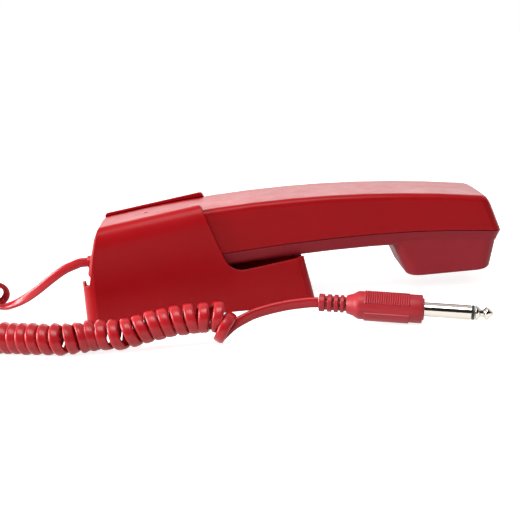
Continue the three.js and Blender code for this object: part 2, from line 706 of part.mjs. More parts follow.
function frontShell() {
  let body = join(
    frontBody(0, 0),
    blockBody(1, earWidth, 0),
    blockBody(-1, mouthWidth, 0),
  );
  const hollow = join(
    frontBody(handset.wall, over),
    blockBody(1, earWidth, handset.wall),
    blockBody(-1, mouthWidth, handset.wall),
  );
  body = body.subtract(hollow);
  // Two ribs across the mouth block, one on each side of the microphone, carry the circuit board.
  for (const side of [-1, 1]) {
    const x = mouthBlockX + side * (bootOuter / 2 + board.ribGap + board.ribThickness / 2);
    const half = mouthWidth / 2 - handset.wall / 2;
    body = body.add(
      box(x - board.ribThickness / 2, x + board.ribThickness / 2, -half, half,
        blockFace + handset.wall / 2, boardBottom - fit),
    );
  }
  for (const x of screwXs) {
    const bottom = frontHeight(x);
    body = body.add(post(x, 0, bottom + fit, bottom + shellScrew.towerHeight, shellScrew.tower / 2));
    body = cut(
      body,
      post(x, 0, bottom - over, bottom + shellScrew.headHeight + fit, shellScrew.head / 2 + fit),
      post(x, 0, bottom, bottom + shellScrew.towerHeight + over, shellScrew.shank / 2 + fit),
    );
  }
  const floor = blockFace + handset.wall;
  const holeRadius = earHoles.diameter / 2;
  for (const radius of earHoles.rings) {
    const count = radius === 0 ? 1 : (earHoles.count * radius) / earHoles.rings[1];
    for (let k = 0; k < count; k++) {
      const angle = (2 * Math.PI * k) / count;
      const x = earX + radius * Math.cos(angle);
      const y = radius * Math.sin(angle);
      body = body.subtract(post(x, y, blockFace - over, floor + over, holeRadius, holeRadius, 8));
    }
  }
  for (const side of [-1, 0, 1]) {
    const y = side * microphone.portSpacing;
    const radius = microphone.portDiameter / 2;
    body = body.subtract(post(mouthBlockX, y, blockFace - over, floor + over, radius, radius, 8));
  }
  return body.subtract(grommetHole());
}

function shellScrewBody(x) {
  const head = frontHeight(x) + fit / 2;
  const shank = shellScrew.shank / 2;
  return join(
    post(x, 0, head, head + shellScrew.headHeight, shellScrew.head / 2),
    post(x, 0, head + fit, head + shellScrew.length, shank, shank, 12),
  );
}

// ---------------------------------------------------------------- cord
const section = (width, thickness, sides) => {
  const points = [];
  for (let k = 0; k < sides; k++) {
    const angle = (2 * Math.PI * (k + 0.5)) / sides;
    points.push([(width / 2) * Math.cos(angle), (thickness / 2) * Math.sin(angle)]);
  }
  const widest = Math.max(...points.map(([x]) => x));
  const thickest = Math.max(...points.map(([, y]) => y));
  return points.map(([x, y]) => [(x * width) / (2 * widest), (y * thickness) / (2 * thickest)]);
};

function cordTube(points, stepLength) {
  const path = new THREE.CatmullRomCurve3(points, false, 'centripetal');
  return new THREE.ExtrudeGeometry(outline(section(cord.thickness, cord.width, cord.tubeSides)), {
    steps: Math.ceil(path.getLength() / stepLength),
    bevelEnabled: false,
    extrudePath: path,
  });
}

// The corners of the stepped turns stand out a little, so that the turns keep the coil's mean diameter.
const coilMean = (coil.diameter - cord.thickness) / (1 + Math.cos(Math.PI / coil.stepsPerTurn));
const coilAxisHeight = coilMean + cord.thickness / 2 + 0.1;

// The middle line of the curly cord, with the direction in which its wide side points at each step.
function coilLine() {
  const axis = new THREE.CatmullRomCurve3(
    coilRoute.map(([x, y, lift]) => new THREE.Vector3(x, y, coilAxisHeight + lift)), false, 'centripetal',
  );
  const samples = 1600;
  axis.arcLengthDivisions = samples;
  const upright = new THREE.Vector3(0, 0, 1);
  const places = axis.getSpacedPoints(samples);
  const step = axis.getLength() / samples;
  const tangents = places.map((p, k) => {
    const a = places[Math.max(0, k - 8)];
    const b = places[Math.min(samples, k + 8)];
    return b.clone().sub(a).normalize();
  });
  // Turns left to the plug end. They stand further apart where the axis bends, so that they don't meet on the
  // inside of the bend.
  const turnsLeft = new Array(samples + 1).fill(0);
  for (let k = samples - 1; k >= 0; k--) {
    const a = tangents[Math.max(0, k - 16)];
    const b = tangents[Math.min(samples, k + 16)];
    const bend = a.angleTo(b) / (32 * step);
    const closed = coil.closedPitch / (1 - (bend * coil.diameter) / 2);
    const pitch = coil.openPitches[Math.floor(turnsLeft[k + 1])] ?? closed;
    turnsLeft[k] = turnsLeft[k + 1] + step / pitch;
  }
  const count = Math.round(coil.turns * coil.stepsPerTurn);
  const line = [];
  let k = 0;
  for (let i = 0; i <= count; i++) {
    const wanted = turnsLeft[0] * (1 - i / count);
    while (k < samples - 1 && turnsLeft[k + 1] > wanted) k++;
    const part = (turnsLeft[k] - wanted) / (turnsLeft[k] - turnsLeft[k + 1]);
    const centre = places[k].clone().lerp(places[k + 1], part);
    const along = tangents[k];
    const side = new THREE.Vector3().crossVectors(along, upright).normalize();
    const up = new THREE.Vector3().crossVectors(side, along);
    const angle = radians(coil.startAngle) - (2 * Math.PI * i) / coil.stepsPerTurn;
    const outward = side.clone().multiplyScalar(Math.cos(angle)).addScaledVector(up, Math.sin(angle));
    const left = (count - i) / coil.stepsPerTurn / coil.leanTurns;
    const lean = coil.lean * Math.sqrt(Math.max(0, 1 - left));
    const point = centre.clone().addScaledVector(outward, coilMean);
    point.addScaledVector(along, lean * coilMean * Math.sin(angle));
    line.push({ point, outward, along });
  }
  return line;
}

// A five-sided section at each step of the coil, drawn in the outward and the axial direction.
function coilRings(line) {
  const half = cord.thickness / 2;
  const wide = cord.width / 2;
  const corners = [
    [-half, -0.75 * wide], [-half, 0.75 * wide], [0.3 * half, wide], [half, 0], [0.3 * half, -wide],
  ];
  return line.map(({ point, outward, along }, i) => {
    const before = line[Math.max(0, i - 1)].point;
    const after = line[Math.min(line.length - 1, i + 1)].point;
    const travel = after.clone().sub(before).normalize();
    const across = along.clone().addScaledVector(travel, -along.dot(travel)).normalize();
    const out = new THREE.Vector3().crossVectors(across, travel).normalize();
    if (out.dot(outward) < 0) out.negate();
    return corners.map(([r, a]) => point.clone().addScaledVector(out, r).addScaledVector(across, a));
  });
}

// A flat run of cord; its wide side turns from one direction to another on the way.
function flatRun(points, stepLength, firstWide, lastWide) {
  const path = new THREE.CatmullRomCurve3(points, false, 'centripetal');
  const count = Math.ceil(path.getLength() / stepLength);
  const line = [];
  for (let k = 0; k <= count; k++) {
    const along = firstWide.clone().lerp(lastWide, k / count);
    const outward = new THREE.Vector3().crossVectors(path.getTangentAt(k / count), along);
    line.push({ point: path.getPointAt(k / count), outward, along });
  }
  return loft(coilRings(line));
}

// Adds a straight run at each end, in the direction that the line has there.
function withStraightEnds(line) {
  const first = line[0];
  const last = line[line.length - 1];
  const back = first.point.clone().sub(line[1].point).setZ(0).normalize();
  const onward = last.point.clone().sub(line[line.length - 2].point).setZ(0).normalize();
  return [
    { ...first, point: first.point.clone().addScaledVector(back, coil.straight) },
    ...line,
    { ...last, point: last.point.clone().addScaledVector(onward, coil.straight) },
  ];
}

// Least distance between points of the tube that are more than half a turn apart along it.
function leastGap(rings) {
  const apart = Math.ceil(coil.stepsPerTurn / 2);
  let least = Infinity;
  for (let i = 0; i < rings.length; i++)
    for (let j = i + apart; j < Math.min(rings.length, i + 3 * coil.stepsPerTurn); j++)
      for (const a of rings[i]) for (const b of rings[j]) least = Math.min(least, a.distanceTo(b));
  return least;
}

// ---------------------------------------------------------------- plug
// Distances along the plug, from the end of its boot.
const shoulderAt = plug.bootLength;
const gripAt = shoulderAt + plug.shoulderLength;
const collarAt = gripAt + plug.gripLength;
const noseAt = collarAt + plug.collarLength;
const shaftAt = noseAt + plug.noseLength;
const insulatorAt = shaftAt + plug.sleeveLength;
const tipAt = insulatorAt + plug.insulatorLength;
const taperAt = tipAt + plug.tipShoulder;
const neckAt = taperAt + plug.neckTaper;
const headAt = neckAt + plug.neckLength;
const restAt = noseAt - 2; // the collar is fullest here
const headRest = headAt + 1.8;

// A turned body along +X from [distance, radius] points.
function turned(points, sides = 24) {
  const geometry = new THREE.LatheGeometry(points.map(([x, r]) => new THREE.Vector2(r, x)), sides);
  return solid(geometry.rotateZ(-Math.PI / 2));
}

function plugBody() {
  const bore = plug.shaft / 2 + fit;
  let body = turned([
    [0, 0], [0, plug.bootRadius - 0.6], [0.6, plug.bootRadius], [shoulderAt, plug.bootRadius],
    [shoulderAt + 2.5, plug.bootRadius + 0.9], [gripAt, plug.shoulderRadius],
    [gripAt + 1, plug.gripRadius - 0.1], [collarAt, plug.collarRadius - 0.1],
    [restAt, plug.collarRadius], [noseAt, plug.collarRadius - 0.2],
    [noseAt + 0.2, plug.noseRadius + 0.5], [shaftAt, plug.noseRadius], [shaftAt, bore],
    [shaftAt - plug.tail - fit, bore], [shaftAt - plug.tail - fit, 0],
  ]);
  // Slots across the boot, in turn from the sides and from above and below, leave a core to bend.
  const reach = plug.bootRadius + over;
  for (let k = 0; k < plug.bootSlots; k++) {
    const x = 2.1 + k * plug.bootSlotPitch;
    const half = plug.bootSlotWidth / 2;
    const next = x + plug.bootSlotPitch * 0.45;
    body = cut(
      body,
      box(x - half, x + half, plug.bootCore, reach, -plug.bootCore, plug.bootCore),
      box(x - half, x + half, -reach, -plug.bootCore, -plug.bootCore, plug.bootCore),
      box(next - half, next + half, -reach, reach, plug.bootCore, reach),
      box(next - half, next + half, -reach, reach, -reach, -plug.bootCore),
    );
  }
  // A ribbed pad above and below.
  const padStart = gripAt + plug.padStart;
  const ribPitch = (collarAt - padStart) / (plug.padRibs + 0.5);
  const top = plug.gripRadius + plug.padHeight;
  for (const side of [-1, 1]) {
    const [low, high] = [side * plug.padFoot, side * top].sort((a, b) => a - b);
    for (let k = 0; k <= plug.padRibs; k++) {
      const x = padStart + k * ribPitch;
      body = body.add(box(x, x + ribPitch / 2, -plug.padHalfWidth, plug.padHalfWidth, low, high));
    }
  }
  return body;
}

const plugBore = plug.core + 2 * fit;

const plugSleeve = () => turned([
  [shaftAt - plug.tail, plugBore], [shaftAt - plug.tail, plug.shaft / 2],
  [insulatorAt, plug.shaft / 2], [insulatorAt, plugBore],
  [shaftAt - plug.tail, plugBore],
]);

const plugInsulator = () => turned([
  [insulatorAt + fit, plugBore], [insulatorAt + fit, plug.shaft / 2],
  [tipAt - fit, plug.shaft / 2], [tipAt - fit, plugBore], [insulatorAt + fit, plugBore],
]);

const plugTip = () => turned([
  [shaftAt - plug.tail, 0], [shaftAt - plug.tail, plug.core], [tipAt, plug.core], [tipAt, plug.shaft / 2],
  [taperAt, plug.shaft / 2 - 0.15], [neckAt, plug.neckRadius], [headAt, plug.neckRadius],
  [headAt + 0.9, plug.headRadius - 0.25], [headRest, plug.headRadius],
  [headAt + plug.headLength - 2, plug.headRadius - 0.5],
  [headAt + plug.headLength - 0.2, plug.pointRadius], [headAt + plug.headLength, 0],
]);

// ---------------------------------------------------------------- the object
const phone = new THREE.Group();
const cradleGroup = new THREE.Group();
const handsetGroup = new THREE.Group();
const cordGroup = new THREE.Group();
phone.add(cradleGroup, handsetGroup, cordGroup);

mesh('cradle_shell', shape(cradleShell()), redShell, cradleGroup);
mesh('wall_plate', shape(wallPlate()), redShell, cradleGroup);
screwPlaces.forEach(([x, y], k) =>
  mesh(`plate_screw_${k + 1}`, shape(plateScrewBody(x, y)), steel, cradleGroup));
mesh('hook_magnet', new THREE.CylinderGeometry(magnet.diameter / 2, magnet.diameter / 2, magnet.height, 20),
  steel, cradleGroup);
const hookMagnet = cradleGroup.getObjectByName('hook_magnet');
hookMagnet.rotation.x = Math.PI / 2;
hookMagnet.position.set(magnetX, 0, floorTop + fit + magnet.height / 2);

mesh('back_shell', shape(backShell()), redShell, handsetGroup);
mesh('front_shell', shape(frontShell()), redShell, handsetGroup);
screwXs.forEach((x, k) => mesh(`shell_screw_${k + 1}`, shape(shellScrewBody(x)), steel, handsetGroup));
mesh('cord_grommet', shape(grommetBody()), redCord, handsetGroup);

// A stack of parts on the floor of a block, each resting on the one below.
function stacked(name, body, z, height, look, x, y = 0) {
  const made = mesh(name, body, look, handsetGroup);
  made.position.set(x, y, z + height / 2);
  return z + height + fit;
}
const disc = (diameter, height, sides = 28) =>
  new THREE.CylinderGeometry(diameter / 2, diameter / 2, height, sides).rotateX(Math.PI / 2);
const tubeRing = (outer, bore, height, sides = 28) => {
  const [r, b, h] = [outer / 2, bore / 2, height / 2];
  const profile = [[b, -h], [r, -h], [r, h], [b, h], [b, -h]].map(([x, y]) => new THREE.Vector2(x, y));
  return new THREE.LatheGeometry(profile, sides).rotateX(Math.PI / 2);
};

let level = blockFace + handset.wall + fit;
level = stacked('earpiece_cloth', disc(receiver.clothDiameter, receiver.clothThickness), level,
  receiver.clothThickness, black, earX);
level = stacked('receiver_gasket', tubeRing(receiver.diameter, gasket.bore, gasket.height), level,
  gasket.height, black, earX);
stacked('receiver_capsule', disc(receiver.diameter, receiver.height), level, receiver.height, steel, earX);

level = blockFace + handset.wall + fit;
stacked('microphone_boot', tubeRing(bootOuter, bootBore, microphone.height + 1), level,
  microphone.height + 1, black, mouthBlockX);
stacked('microphone_capsule', disc(microphone.diameter, microphone.height), level, microphone.height, steel,
  mouthBlockX);

const slab = (length, width, height) => new THREE.BoxGeometry(length, width, height);
const boardX = boardLeft + board.length / 2;
level = stacked('circuit_board', slab(board.length, boardWidth, board.thickness), boardBottom,
  board.thickness, paint(0x1f5a38, 0.6), boardX);
const reedTube = new THREE.CylinderGeometry(reed.diameter / 2, reed.diameter / 2, reed.length, 12);
stacked('reed_switch', reedTube, level, reed.diameter, paint(0x9fb4a8, 0.1), magnetX, boardWidth / 4);
stacked('cord_terminal', slab(terminal.length, terminal.width, terminal.height), level, terminal.height,
  paint(0xe8e4d8, 0.5), boardLeft + terminal.length);
stacked('balance_weight', slab(weight.length, weight.width, weight.height),
  frontHeight(handsetMiddle + weight.length / 4) + handset.wall + fit, weight.height, steel, handsetMiddle);

// Cord, coil and plug.
const coilPath = withStraightEnds(coilLine());
const rings = coilRings(coilPath);
console.log(`least gap of the curly cord to itself: ${leastGap(rings).toFixed(2)} mm`);
mesh('cord_coil', loft(rings), redCord, cordGroup);

const grommetFace = new THREE.Vector3(handsetEnd - grommet.proud - fit, 0, grommetZ);
const coilStart = coilPath[0].point.clone();
const coilEnd = coilPath[coilPath.length - 1].point.clone();
const startWay = coilPath[0].point.clone().sub(coilPath[1].point).normalize();
const endWay = coilEnd.clone().sub(coilPath[coilPath.length - 2].point).normalize();
const asPoint = ([x, y, z]) => new THREE.Vector3(x, y, z);

mesh('cord_lead', flatRun([
  grommetFace,
  grommetFace.clone().setX(grommetFace.x - cord.width),
  ...leadRoute.map(asPoint),
  coilStart.clone().addScaledVector(startWay, fit + cord.thickness),
  coilStart.clone().addScaledVector(startWay, fit),
], cord.leadStep, new THREE.Vector3(0, 0, 1), coilPath[0].along), redCord, cordGroup);

const plugPitch = Math.asin((plug.gripRadius - plug.headRadius) / (headRest - restAt));
const plugAxis = new THREE.Group();
plugAxis.rotation.set(0, plugPitch, radians(plug.yaw), 'ZYX');
plugAxis.updateMatrix();
const rest = new THREE.Vector3(restAt, 0, 0).applyMatrix4(plugAxis.matrix);
plugAxis.position.set(
  plug.place.x - rest.x,
  plug.place.y - rest.y,
  plug.gripRadius / Math.cos(plugPitch) + 0.05 - rest.z,
);
plugAxis.updateMatrix();
cordGroup.add(plugAxis);
mesh('plug_body', shape(plugBody()), redCord, plugAxis);
mesh('plug_sleeve', shape(plugSleeve()), nickel, plugAxis);
mesh('plug_insulator', shape(plugInsulator()), black, plugAxis);
mesh('plug_tip', shape(plugTip()), nickel, plugAxis);

const plugEnd = new THREE.Vector3(-fit, 0, 0).applyMatrix4(plugAxis.matrix);
const plugRun = new THREE.Vector3(-fit - cord.width, 0, 0).applyMatrix4(plugAxis.matrix);
mesh('cord_tail', cordTube([
  coilEnd.clone().addScaledVector(endWay, fit),
  coilEnd.clone().addScaledVector(endWay, fit + cord.thickness),
  ...tailRoute.map(asPoint),
  plugRun,
  plugEnd,
], cord.tailStep), redCord, cordGroup);

export default phone;
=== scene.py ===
import math

import bmesh
import bpy
from mathutils import Matrix, Vector


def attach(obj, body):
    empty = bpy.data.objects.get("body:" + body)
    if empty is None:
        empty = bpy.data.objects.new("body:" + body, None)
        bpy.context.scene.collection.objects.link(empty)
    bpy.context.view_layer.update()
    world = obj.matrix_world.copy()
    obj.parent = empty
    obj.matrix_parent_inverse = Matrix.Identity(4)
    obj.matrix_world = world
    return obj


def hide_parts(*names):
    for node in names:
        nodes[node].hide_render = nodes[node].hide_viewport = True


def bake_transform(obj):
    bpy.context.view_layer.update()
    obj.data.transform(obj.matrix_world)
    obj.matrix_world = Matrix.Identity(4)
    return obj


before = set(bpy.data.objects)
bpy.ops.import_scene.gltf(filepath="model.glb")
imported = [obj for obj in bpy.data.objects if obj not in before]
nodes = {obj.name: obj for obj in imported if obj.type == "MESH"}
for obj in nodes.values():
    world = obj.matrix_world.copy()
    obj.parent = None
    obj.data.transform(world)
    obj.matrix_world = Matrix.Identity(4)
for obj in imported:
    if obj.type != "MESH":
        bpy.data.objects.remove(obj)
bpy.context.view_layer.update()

mm = 0.001
print("frame loaded:", len(nodes), "solids")


# A long lens from the side, a little above the phone and rolled so that the phone climbs to the right.
cameraSettings = {
    "place": (-28.0, -492.3, 138.8), "yaw": 1.47, "down": 13.73, "roll": 5.08,  # millimetres and degrees
    "lens": 69.23, "sensor": 36,  # millimetres
    "nearest": 0.01, "farthest": 30,  # metres
}


def addCamera(settings):
    yaw, down, roll = (math.radians(settings[k]) for k in ("yaw", "down", "roll"))
    forward = Vector((math.sin(yaw) * math.cos(down), math.cos(yaw) * math.cos(down), -math.sin(down)))
    level = Vector((math.cos(yaw), -math.sin(yaw), 0))
    under = forward.cross(level)
    right = level * math.cos(roll) + under * math.sin(roll)
    below = under * math.cos(roll) - level * math.sin(roll)
    data = bpy.data.cameras.new("camera")
    data.lens = settings["lens"]
    data.sensor_width = settings["sensor"]
    data.clip_start, data.clip_end = settings["nearest"], settings["farthest"]
    camera = bpy.data.objects.new("camera", data)
    turn = Matrix((right, -below, -forward)).transposed().to_4x4()
    camera.matrix_world = Matrix.Translation(Vector(settings["place"]) * mm) @ turn
    bpy.context.scene.collection.objects.link(camera)
    bpy.context.scene.camera = camera


addCamera(cameraSettings)
bpy.context.scene.view_settings.view_transform = "Standard"
print("camera placed")


# An sRGB hex colour as linear values.
def toLinear(colour):
    parts = [int(colour[k:k + 2], 16) / 255 for k in (1, 3, 5)]
    return tuple(c / 12.92 if c <= 0.04045 else ((c + 0.055) / 1.055) ** 2.4 for c in parts) + (1,)


def addNode(owner, kind, settings=None, links=None):
    node = owner.node_tree.nodes.new("ShaderNode" + kind)
    for name, value in (settings or {}).items():
        if isinstance(name, int) or name in node.inputs:
            node.inputs[name].default_value = value
        else:
            setattr(node, name, value)
    for name, source in (links or {}).items():
        owner.node_tree.links.new(source, node.inputs[name])
    return node


def emptyMaterial(name):
    material = bpy.data.materials.new(name)
    material.use_nodes = True
    material.node_tree.nodes.clear()
    return material


def finishMaterial(material, shader):
    addNode(material, "OutputMaterial", links={"Surface": shader.outputs[0]})
    return material


# What all moulded skins share; sizes in millimetres. The tone drifts between two colours, and handling marks
# make the skin a little glossier or duller.
skin = {
    "driftRange": (0.3, 0.7), "driftDetail": 3.0,
    "marksSize": 9, "marksDetail": 6.0, "marksRoughness": 0.7, "marksRange": (0.35, 0.7),
    "glossier": 0.03, "duller": 0.05,
    "grainDetail": 2.0, "grainHeight": 0.05, "edgeSamples": 6,
}


# Flow variation, handling marks and grain. The real grain is under 0.1 mm, so it is drawn as coarse as it
# needs to be to show.
def mouldedPlastic(name, look):
    material = emptyMaterial(name)
    place = addNode(material, "TexCoord").outputs["Object"]
    flow = addNode(material, "TexNoise",
                   {"Scale": 1 / (look["flowSize"] * mm), "Detail": skin["driftDetail"]}, {"Vector": place})
    colour = addNode(material, "ValToRGB", links={"Fac": flow.outputs["Fac"]})
    for stop, position, tone in zip(colour.color_ramp.elements, skin["driftRange"], ("dark", "light")):
        stop.position = position
        stop.color = toLinear(look[tone])
    marks = addNode(material, "TexNoise",
                    {"Scale": 1 / (skin["marksSize"] * mm), "Detail": skin["marksDetail"],
                     "Roughness": skin["marksRoughness"]}, {"Vector": place})
    gloss = addNode(material, "MapRange",
                    {"From Min": skin["marksRange"][0], "From Max": skin["marksRange"][1],
                     "To Min": look["roughness"] - skin["glossier"],
                     "To Max": look["roughness"] + skin["duller"]},
                    {"Value": marks.outputs["Fac"]})
    grain = addNode(material, "TexNoise",
                    {"Scale": 1 / (look["grainSize"] * mm), "Detail": skin["grainDetail"]}, {"Vector": place})
    # crisp edges catch the light as the small radius of a moulded corner does
    rounded = addNode(material, "Bevel", {"samples": skin["edgeSamples"], "Radius": look["edge"] * mm})
    bump = addNode(material, "Bump", {"Strength": look["grainDepth"], "Distance": skin["grainHeight"] * mm},
                   {"Height": grain.outputs["Fac"], "Normal": rounded.outputs[0]})
    shader = addNode(material, "BsdfPrincipled",
                     {"IOR": look["ior"], "Specular IOR Level": look["specular"]},
                     {"Base Color": colour.outputs["Color"], "Roughness": gloss.outputs[0],
                      "Normal": bump.outputs["Normal"]})
    return finishMaterial(material, shader)


# What both platings share; sizes in millimetres.
plating = {
    "marksDetail": 3.0, "marksRange": (0.3, 0.7), "marksHeight": 0.01, "glossier": 0.04, "duller": 0.06,
}


# Bright plating over fine tool marks, which a stretch draws out round the axis.
def platedMetal(name, look):
    material = emptyMaterial(name)
    place = addNode(material, "TexCoord").outputs["Object"]
    stretched = addNode(material, "Mapping", {"Scale": look["stretch"]}, {"Vector": place})
    marks = addNode(material, "TexNoise",
                    {"Scale": 1 / (look["markSize"] * mm), "Detail": plating["marksDetail"]},
                    {"Vector": stretched.outputs["Vector"]})
    gloss = addNode(material, "MapRange",
                    {"From Min": plating["marksRange"][0], "From Max": plating["marksRange"][1],
                     "To Min": look["roughness"] - plating["glossier"],
                     "To Max": look["roughness"] + plating["duller"]},
                    {"Value": marks.outputs["Fac"]})
    bump = addNode(material, "Bump", {"Strength": look["markDepth"], "Distance": plating["marksHeight"] * mm},
                   {"Height": marks.outputs["Fac"]})
    shader = addNode(material, "BsdfPrincipled", {"Metallic": 1.0, "Base Color": toLinear(look["colour"])},
                     {"Roughness": gloss.outputs[0], "Normal": bump.outputs["Normal"]})
    return finishMaterial(material, shader)


# ABS moulded in a fine spark-eroded tool: an even satin red with soft highlights.
redAbs = mouldedPlastic("moulded ABS red", {
    "dark": "#8a080e", "light": "#910a11", "roughness": 0.33, "ior": 1.53, "specular": 0.1,
    "flowSize": 35, "grainSize": 0.45, "grainDepth": 0.12, "edge": 0.6})
# The front shell's tool has a coarser skin, so it looks duller and a little greyer.
dullAbs = mouldedPlastic("moulded ABS red, coarse skin", {
    "dark": "#841c25", "light": "#8a1f28", "roughness": 0.5, "ior": 1.53, "specular": 0.15,
    "flowSize": 35, "grainSize": 0.6, "grainDepth": 0.2, "edge": 0.4})
# Soft PVC extruded flat: a smooth skin that shines along the cord.
cordPvc = mouldedPlastic("extruded PVC red", {
    "dark": "#9a0f17", "light": "#a2131b", "roughness": 0.3, "ior": 1.5, "specular": 0.3,
    "flowSize": 20, "grainSize": 0.5, "grainDepth": 0.1, "edge": 0.15})
# Soft PVC moulded over the plug: duller than the cord, and a little pinker.
plugPvc = mouldedPlastic("overmoulded PVC red", {
    "dark": "#951a23", "light": "#9b1e27", "roughness": 0.42, "ior": 1.5, "specular": 0.3,
    "flowSize": 12, "grainSize": 0.4, "grainDepth": 0.15, "edge": 0.15})
# Moulded acetal: slick and nearly black, with a small highlight.
blackPlastic = mouldedPlastic("moulded acetal black", {
    "dark": "#141416", "light": "#1c1c1e", "roughness": 0.4, "ior": 1.48, "specular": 0.5,
    "flowSize": 8, "grainSize": 0.3, "grainDepth": 0.1, "edge": 0.1})
# Moulded EPDM rubber: a dull black with a broad, faint sheen.
rubber = mouldedPlastic("moulded EPDM rubber", {
    "dark": "#1a1a1a", "light": "#232323", "roughness": 0.7, "ior": 1.52, "specular": 0.4,
    "flowSize": 6, "grainSize": 0.3, "grainDepth": 0.2, "edge": 0.2})
# Die-cut polyurethane foam: open cells scatter the light, so it looks a flat, rough grey.
foam = mouldedPlastic("die-cut polyurethane foam", {
    "dark": "#4b4b4d", "light": "#5a5a5c", "roughness": 0.9, "ior": 1.5, "specular": 0.2,
    "flowSize": 3, "grainSize": 0.4, "grainDepth": 0.8, "edge": 0.3})
# Woven polyester cloth: fine threads that break up the light, dull and almost black.
cloth = mouldedPlastic("woven polyester cloth", {
    "dark": "#141414", "light": "#202020", "roughness": 0.85, "ior": 1.5, "specular": 0.2,
    "flowSize": 2, "grainSize": 0.25, "grainDepth": 0.7, "edge": 0.05})
# Glass-epoxy laminate under a green coat: a smooth, half-gloss face.
boardLaminate = mouldedPlastic("glass-epoxy laminate green", {
    "dark": "#1c4a2c", "light": "#235635", "roughness": 0.4, "ior": 1.55, "specular": 0.5,
    "flowSize": 5, "grainSize": 0.3, "grainDepth": 0.1, "edge": 0.1})
# A drawn glass tube: very smooth with a sharp highlight, and opaque, because nothing is modelled inside it.
drawnGlass = mouldedPlastic("drawn glass tube", {
    "dark": "#8fa59b", "light": "#9db3a9", "roughness": 0.06, "ior": 1.52, "specular": 0.5,
    "flowSize": 4, "grainSize": 0.5, "grainDepth": 0.02, "edge": 0.1})
# Moulded nylon: cream, with a waxy half-gloss.
creamNylon = mouldedPlastic("moulded nylon cream", {
    "dark": "#cdc4a8", "light": "#d6cdb2", "roughness": 0.5, "ior": 1.53, "specular": 0.5,
    "flowSize": 6, "grainSize": 0.3, "grainDepth": 0.1, "edge": 0.15})
# Turned brass under nickel: bright and slightly warm, with fine rings round the plug's axis.
nickelPlate = platedMetal("turned brass nickel plated", {
    "colour": "#c2bbb2", "roughness": 0.1, "markSize": 0.6, "markDepth": 0.1, "stretch": (8, 1, 1)})
# Pressed steel under zinc: grey, with a duller and cloudier shine.
steelPlate = platedMetal("pressed steel zinc plated", {
    "colour": "#a7a9ac", "roughness": 0.34, "markSize": 0.5, "markDepth": 0.2, "stretch": (1, 1, 1)})
print("materials made")


def paintNode(name, material):
    node = nodes[name]
    if not node.material_slots:
        node.data.materials.append(material)
    for slot in node.material_slots:
        slot.material = material


def addPiece(name, shape, material, body=None, replaced=(), sharp=35):
    mesh = bpy.data.meshes.new(name)
    shape.to_mesh(mesh)
    shape.free()
    mesh.materials.append(material)
    mesh.shade_smooth()
    mesh.set_sharp_from_angle(angle=math.radians(sharp))
    piece = bpy.data.objects.new(name, mesh)
    bpy.context.scene.collection.objects.link(piece)
    if body:
        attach(piece, body)
    if replaced:
        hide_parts(*replaced)
    return piece


# The cord, in millimetres and degrees.
cordLook = {
    "width": 4.8, "thickness": 2.5, "sectionSides": 20, "squareness": 0.8, "sharp": 60,
    "grooveDepth": 0.1, "grooveWidth": 0.4,
    "turns": 48, "stepsPerTurn": 24, "diameter": 14.0, "closedPitch": 4.69,
    # pitch of the drawn-out turns, one by one from the plug end
    "openPitches": (6.6, 5, 5.8, 6, 5, 5.7, 5.4, 5.8, 6.2, 5.7, 4.8, 4.8, 5, 5.8, 5.7, 5.4),
    # how far the turns tilt, the turns at the plug end that don't, and those over which the tilt grows
    "tilt": 26, "flatTurns": 4, "tiltingTurns": 11, "tiltClearance": 0.4,
    # the turns nearest the plug lean, and no two turns are quite the same size
    "lean": 0.43, "leanTurns": 2.2, "uneven": 0.12, "unevenRhythm": 2.4,
    "straight": 2.4,  # the cord goes straight on for this far where it meets the coil
    "firstTurns": 12,  # turns that belong to the lead's piece
    # the coil's axis: its samples, and how many of them its direction and its bend are taken over, each way
    "samples": 2400, "headingReach": 12, "bendReach": 24,
    # points of the lead and the tail, and where and over how many of them the wide side turns
    "leadPoints": 60, "leadTurnsAt": 30, "leadTurnsOver": 30,
    "tailPoints": 160, "drawnTurnOver": 20, "tailTurnsAt": 78, "tailTurnsOver": 26,
}

grommetFace = Vector((-101.8, 0, 25.84))
leadRoute = [
    (-105.7, 0, 25.84), (-108.3, 0.3, 25), (-113.5, 1, 23.1), (-119, 2.4, 19.9), (-124.5, 4.4, 16.1),
    (-130, 7, 12.1), (-135.8, 10.2, 8.3), (-141.6, 13.6, 5.1), (-146.8, 16, 3)]
# The coil's axis; the third number is how far the turns are lifted off the floor.
coilRoute = [
    (-155, 20.6, 0), (-156.4, 26, 0), (-160.8, 31.4, 0), (-168.3, 35, 0), (-177.3, 35.5, 0),
    (-186.3, 31.5, 0), (-192.3, 23.5, 0), (-194.8, 12, 0), (-195.3, -2, 0), (-194.3, -17, 0),
    (-190.3, -31, 0), (-181.8, -41, 0), (-169, -46.5, 0), (-155, -50, 0), (-137.7, -55.3, 0),
    (-122.9, -61.3, 0), (-114, -64.7, 0), (-106, -67.2, 0), (-101.3, -67.3, 0), (-97.3, -66.6, 0.1),
    (-93.3, -66.6, 0.3), (-88.4, -67.4, 0.3), (-83.3, -69, 0.4), (-78.1, -69.8, 0.8), (-73.4, -69.8, 1.7),
    (-68, -69.6, 2.8), (-62.8, -69.5, 3.5), (-57.2, -69.6, 4.2), (-51.4, -69.9, 4.6), (-44.7, -70.6, 4.8),
    (-41, -71, 4.8), (-35.8, -71.6, 4.7)]
